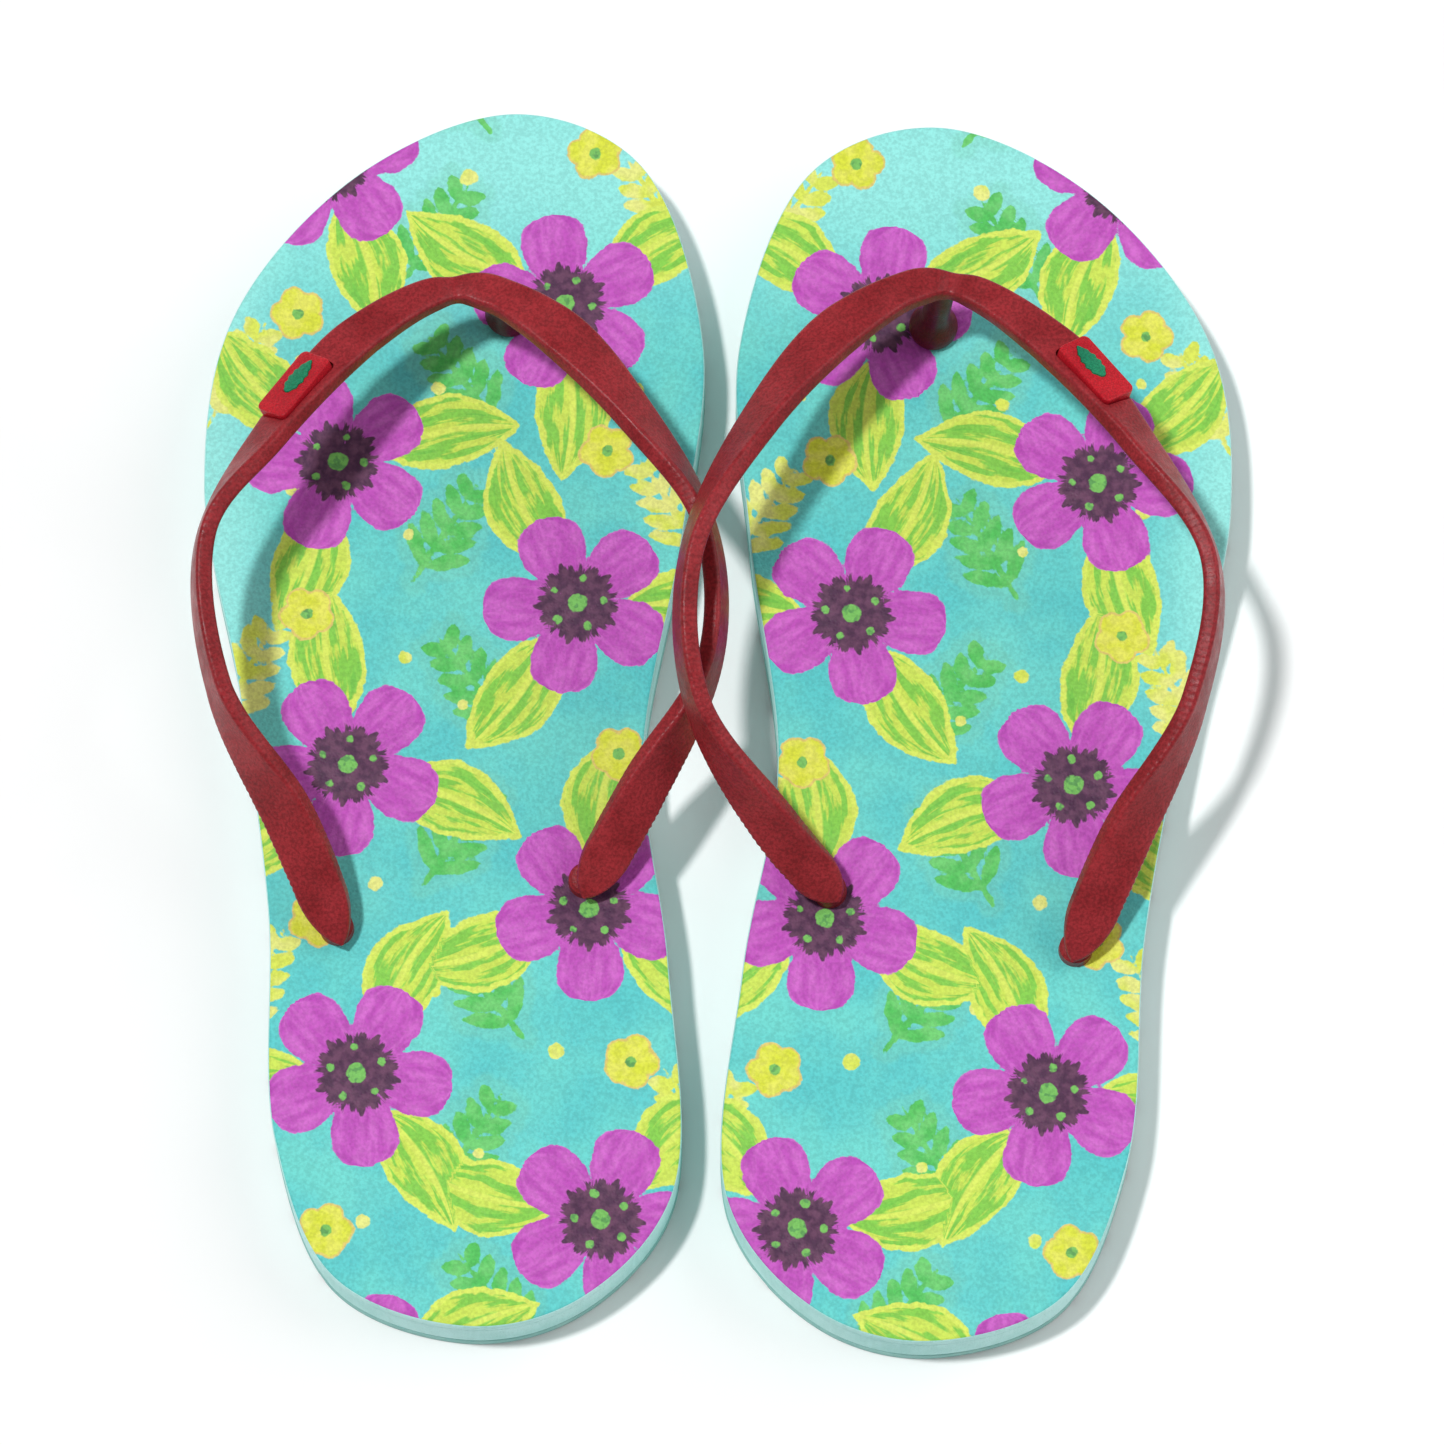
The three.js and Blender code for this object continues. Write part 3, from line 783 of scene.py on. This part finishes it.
def plug_profile(stem_top):
    """The plug under each end: a round foot with a shallow dish and a sprue mark below, and its stem."""
    low, high = PLUG_BOTTOM, PLUG_BOTTOM + PLUG_THICKNESS
    profile = [(0, low - 0.1), (0.7, low - 0.1), (0.9, low + 0.25)]
    profile += [(5.2, low + 0.3), (5.9, low + 0.05), (6.5, low)]
    turns = np.linspace(-math.pi / 2, math.pi / 2, 12)
    profile += [(PLUG_RADIUS - 1 + math.cos(a), (low + high) / 2 + math.sin(a)) for a in turns]
    fillet = np.linspace(math.pi / 2, 0, 5)
    foot = STEM_RADIUS + STEM_FILLET
    profile += [
        (foot - STEM_FILLET * math.cos(a - math.pi / 2), high + STEM_FILLET - STEM_FILLET * math.sin(a))
        for a in fillet
    ]
    return profile + [(STEM_RADIUS, stem_top - 0.6), (STEM_RADIUS - 0.6, stem_top), (0, stem_top)]


def combined(piece, tools, operation):
    """The piece joined with, or cut by, other closed pieces, which are then gone."""
    for tool in tools:
        modifier = piece.modifiers.new("combine", "BOOLEAN")
        modifier.object = tool
        modifier.operation = operation
        modifier.solver = "MANIFOLD"
    graph = bpy.context.evaluated_depsgraph_get()
    made = bpy.data.meshes.new_from_object(piece.evaluated_get(graph), depsgraph=graph)
    piece.modifiers.clear()
    old = piece.data
    piece.data = made
    bpy.data.meshes.remove(old)
    for tool in tools:
        bpy.data.objects.remove(tool)


def smoothed(piece, angle):
    piece.data.polygons.foreach_set("use_smooth", np.ones(len(piece.data.polygons), bool))
    piece.data.set_sharp_from_angle(angle=math.radians(angle))


# ---------------------------------------------------------------- badge


def badge_frame(side):
    """Middle of the badge and its directions along, outward and up, and the height of its top."""
    centre, along, across, face, _, thickness = (
        value[0] for value in strap_line(side, np.array([BADGE_AT[side]] * 2))
    )
    return centre - across * BADGE_OFFSET, along, -across, face, thickness[0] / 2 + BADGE_RISE


def slab(side, outline, bottom, top, edge, crown=0.0):
    """A slab on the badge's own directions with a rounded upper edge and a slightly crowned top."""
    middle, along, outward, face, _ = badge_frame(side)
    outline = np.array(outline, float)
    heart = middle_of(outline)
    reach = np.linalg.norm(outline - heart, axis=1, keepdims=True)
    inward = (heart - outline) / reach
    rings = [(0.0, bottom), (0.0, (bottom + top) / 2)]
    turns = np.linspace(0, math.pi / 2, 5)
    rings += [(edge * (1 - math.cos(a)), top - edge * (1 - math.sin(a))) for a in turns]
    loops = [np.column_stack([outline + inward * inset, np.full(len(outline), z)]) for inset, z in rings]
    for share in (0.85, 0.6, 0.3):
        loop = heart + (loops[len(rings) - 1][:, :2] - heart) * share
        loops.append(np.column_stack([loop, np.full(len(loop), top + crown * (1 - share**2))]))
    count = len(outline)
    flat = np.vstack(loops + [np.array([[*heart, top + crown], [*heart, bottom]])])
    faces = grid_faces(len(loops), count, wrap=True)
    last = (len(loops) - 1) * count
    faces += [(last + k, last + (k + 1) % count, len(flat) - 2) for k in range(count)]
    faces += [((k + 1) % count, k, len(flat) - 1) for k in range(count)]
    return middle + flat[:, :1] * along + flat[:, 1:2] * outward + flat[:, 2:] * face, faces


def badge_outline(grow):
    """A rectangle with round corners."""
    length, width, corner = BADGE_LENGTH / 2 + grow, BADGE_WIDTH / 2 + grow, BADGE_CORNER
    points = []
    for x, y, start in ((1, 1, 0), (-1, 1, 90), (-1, -1, 180), (1, -1, 270)):
        for turn in np.radians(np.linspace(start, start + 90, 9)):
            centre_x, centre_y = x * (length - corner), y * (width - corner)
            points.append((centre_x + corner * math.cos(turn), centre_y + corner * math.sin(turn)))
    return points


def leaf_outline(grow):
    """A generic leaf with shallow lobes along its edge."""
    count = 72
    points = []
    for k in range(count):
        share = k / count * 2
        upper = share < 1
        t = share if upper else 2 - share
        half = (LEAF_WIDTH / 2) * (t**0.6) * ((1 - t) ** 0.8) / (0.43**0.6 * 0.57**0.8)
        half *= 0.9 + 0.1 * math.cos(5 * 2 * math.pi * t)
        along = LEAF_OFFSET + (t - 0.5) * (LEAF_LENGTH + 2 * grow)
        points.append((along, (1 if upper else -1) * (half + grow * min(1, half))))
    return points


# ---------------------------------------------------------------- outsole

GROOVE_REACH = 60.0


def tread_bars():
    """The bars that cut the wavy grooves of the tread, chamfered at their roots."""
    points, faces = [], []
    x = np.linspace(-GROOVE_REACH, GROOVE_REACH, 181)
    swing = GROOVE_WAVE * np.sin(2 * np.pi * x / GROOVE_WAVE_LENGTH)
    half = GROOVE_WIDTH / 2
    section = [(-half - 0.25, -0.6), (half + 0.25, -0.6), (half + 0.25, 0), (half, 0.25)]
    section += [(half, GROOVE_DEPTH - 0.4), (half - 0.4, GROOVE_DEPTH), (0.4 - half, GROOVE_DEPTH)]
    section += [(-half, GROOVE_DEPTH - 0.4), (-half, 0.25)]
    section.append((-half - 0.25, 0))
    length = max(y for _, y in SOLE_OUTLINE)
    for middle in np.arange(GROOVE_PITCH, length - GROOVE_PITCH / 2, GROOVE_PITCH):
        start = len(points) * len(x) * len(section)
        bar = [[(at, middle + wave + y, z) for y, z in section] for at, wave in zip(x, swing)]
        points.append(np.array(bar).reshape(-1, 3))
        faces += grid_faces(len(x), len(section), start, wrap=True)
        faces.append(tuple(range(start, start + len(section)))[::-1])
        end = start + (len(x) - 1) * len(section)
        faces.append(tuple(range(end, end + len(section))))
    return np.vstack(points), faces


def pocket(middle, radius, bottom, top):
    return lathe(middle, [(0, bottom), (radius, bottom), (radius, top), (0, top)], 64)


# ---------------------------------------------------------------- pieces

FOAM = foam("aqua_foam", (168, 228, 222), (192, 242, 238))
TREAD = tread_rubber()
PRINT = printed_foam()
STRAP = rubber("red_strap", (128, 30, 35), (152, 42, 48), 0.6, 0.38, True)
BADGE = rubber("badge_red", (168, 18, 34), (196, 32, 44), 0.35, 0.36, False)
LEAF = rubber("badge_green", (18, 116, 84), (36, 140, 98), 0.35, 0.4, False)

RIM_RADIUS = 0.7
DIMPLE_DEPTH = 0.9
PRINTED_RINGS = 2


def attached(piece, side, name):
    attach(piece, f"{side}_thong")
    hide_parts(f"{side}_{name}")


def store(piece, name, values):
    piece.data.attributes.new(name, "FLOAT", "POINT").data.foreach_set("value", np.array(values, np.float32))


def make_footbed(side):
    points, faces = sole_layer(0, RIM_RADIUS, MIDSOLE_TOP + BOND_LINE, SOLE_TOP, SOLE_COLUMNS)
    grid = (RIM_ROWS + 1) * SOLE_COLUMNS
    for hole, reach in ((TOE_HOLE, 5.5), (OUTER_HOLE, 8.5), (INNER_HOLE, 8.5)):
        gap = np.linalg.norm(points[:grid, :2] - hole, axis=1)
        points[:grid, 2] -= DIMPLE_DEPTH * np.exp(-((gap / reach) ** 2) * 1.5)
    ring = 2 * (RIM_ROWS + 1) - 2
    printed = len(grid_faces(RIM_ROWS + 1, SOLE_COLUMNS)) + PRINTED_RINGS * ring
    slots = (np.arange(len(faces)) >= printed).astype(int)
    piece = build(f"{side}_footbed", side, points, faces, [PRINT, FOAM], slots)
    for name, values in artwork(points[:, :2]).items():
        store(piece, name, values)
    tidy(piece)
    attached(piece, side, "printed_footbed")


def make_midsole(side):
    points, faces = sole_layer(0.12, 0.35, OUTSOLE_TOP + 0.02, MIDSOLE_TOP + BOND_LINE - 0.02, 4)
    piece = build(f"{side}_midsole_foam", side, points, faces, [FOAM])
    tidy(piece)
    attached(piece, side, "midsole")


def make_outsole(side):
    points, faces = sole_layer(0, 0.5, 0, OUTSOLE_TOP, 4)
    piece = build(f"{side}_tread", side, points, faces, [TREAD])
    tidy(piece)
    tools = [build("grooves", side, *tread_bars(), [TREAD])]
    for hole in (TOE_HOLE, OUTER_HOLE, INNER_HOLE):
        shape = pocket(hole, PLUG_RADIUS + HOLE_CLEARANCE, -1, OUTSOLE_TOP + 1)
        tools.append(build("pocket", side, *shape, [TREAD]))
    for tool in tools:
        tidy(tool)
    combined(piece, tools, "DIFFERENCE")
    smoothed(piece, 35)
    attached(piece, side, "outsole")


def make_strap(side):
    points, faces, rim = strap_body(side)
    piece = build(f"{side}_thong_strap", side, points, faces, [STRAP])
    store(piece, "rim", rim)
    store(piece, "shade", np.zeros(len(points)))
    tidy(piece)
    tools = [build("post", side, *toe_post(side), [STRAP])]
    for hole, top in ((TOE_HOLE, SOLE_TOP), (OUTER_HOLE, SOLE_TOP + 2.4), (INNER_HOLE, SOLE_TOP + 2.4)):
        tools.append(build("plug", side, *lathe(hole, plug_profile(top), 64), [STRAP]))
    for tool in tools:
        store(tool, "rim", np.zeros(len(tool.data.vertices)))
        # painted shade: 1 on the post, which the rubber darkens for the shadow under the yoke, 0 elsewhere
        store(tool, "shade", np.full(len(tool.data.vertices), float(tool == tools[0])))
        tidy(tool)
    combined(piece, tools, "UNION")
    top = badge_frame(side)[4]
    bottom = top - BADGE_THICKNESS - BOND_LINE
    cutter = build("badge_pocket", side, *slab(side, badge_outline(BOND_LINE), bottom, top + 4, 0.1), [STRAP])
    for name in ("rim", "shade"):
        store(cutter, name, np.zeros(len(cutter.data.vertices)))
    tidy(cutter)
    combined(piece, [cutter], "DIFFERENCE")
    smoothed(piece, 38)
    attached(piece, side, "strap")


def make_badge(side):
    top = badge_frame(side)[4]
    plate = build(
        f"{side}_badge", side, *slab(side, badge_outline(0), top - BADGE_THICKNESS, top, 0.35, 0.0), [BADGE]
    )
    tidy(plate)
    inlay_top = top + LEAF_RISE
    inlay_bottom = inlay_top - LEAF_THICKNESS
    hollow = slab(side, leaf_outline(0.1), inlay_bottom - 0.1, top + 2, 0.05)
    cutter = build("leaf_pocket", side, *hollow, [BADGE])
    tidy(cutter)
    combined(plate, [cutter], "DIFFERENCE")
    smoothed(plate, 30)
    attached(plate, side, "badge_plate")
    motif = slab(side, leaf_outline(0), inlay_bottom, inlay_top, 0.16, 0.12)
    inlay = build(f"{side}_badge_inlay", side, *motif, [LEAF])
    tidy(inlay)
    attached(inlay, side, "badge_leaf")


for side in SIDES:
    make_footbed(side)
    make_midsole(side)
    make_outsole(side)
    make_strap(side)
    make_badge(side)

# ---------------------------------------------------------------- camera, light and floor

VIEW_TILT = math.radians(16)
VIEW_DISTANCE = 1.8
VIEW_TARGET = Vector((0.0011, -0.00135, 0.016))
VIEW_LENS = 229.6

camera = bpy.data.objects.new("camera", bpy.data.cameras.new("camera"))
camera.data.lens = VIEW_LENS
camera.data.sensor_width = 36
away = Vector((0, -math.sin(VIEW_TILT), math.cos(VIEW_TILT)))
camera.location = VIEW_TARGET + away * VIEW_DISTANCE
camera.rotation_euler = (VIEW_TILT, 0, 0)
bpy.context.scene.collection.objects.link(camera)
bpy.context.scene.camera = camera

floor_mesh = bpy.data.meshes.new("floor")
floor_mesh.from_pydata([(-3, -3, 0), (3, -3, 0), (3, 3, 0), (-3, 3, 0)], [], [(0, 1, 2, 3)])
floor_mesh.materials.append(floor_paint())
floor = bpy.data.objects.new("floor", floor_mesh)
bpy.context.scene.collection.objects.link(floor)


def sun(name, strength, softness, direction):
    """A distant light that comes from the given direction."""
    light = bpy.data.objects.new(name, bpy.data.lights.new(name, "SUN"))
    light.data.energy = strength
    light.data.angle = math.radians(softness)
    light.rotation_euler = Vector(direction).to_track_quat("Z", "Y").to_euler()
    bpy.context.scene.collection.objects.link(light)


sun("key", 2, 4.5, (-0.31, 0.03, 1))
sun("fill", 0.85, 50, (0.8, 0.25, 0.65))
world = bpy.data.worlds.new("studio")
bpy.context.scene.world = world
world.use_nodes = True
world.node_tree.nodes["Background"].inputs["Color"].default_value = (1, 1, 1, 1)
world.node_tree.nodes["Background"].inputs["Strength"].default_value = 0.3
bpy.context.scene.view_settings.view_transform = "Standard"
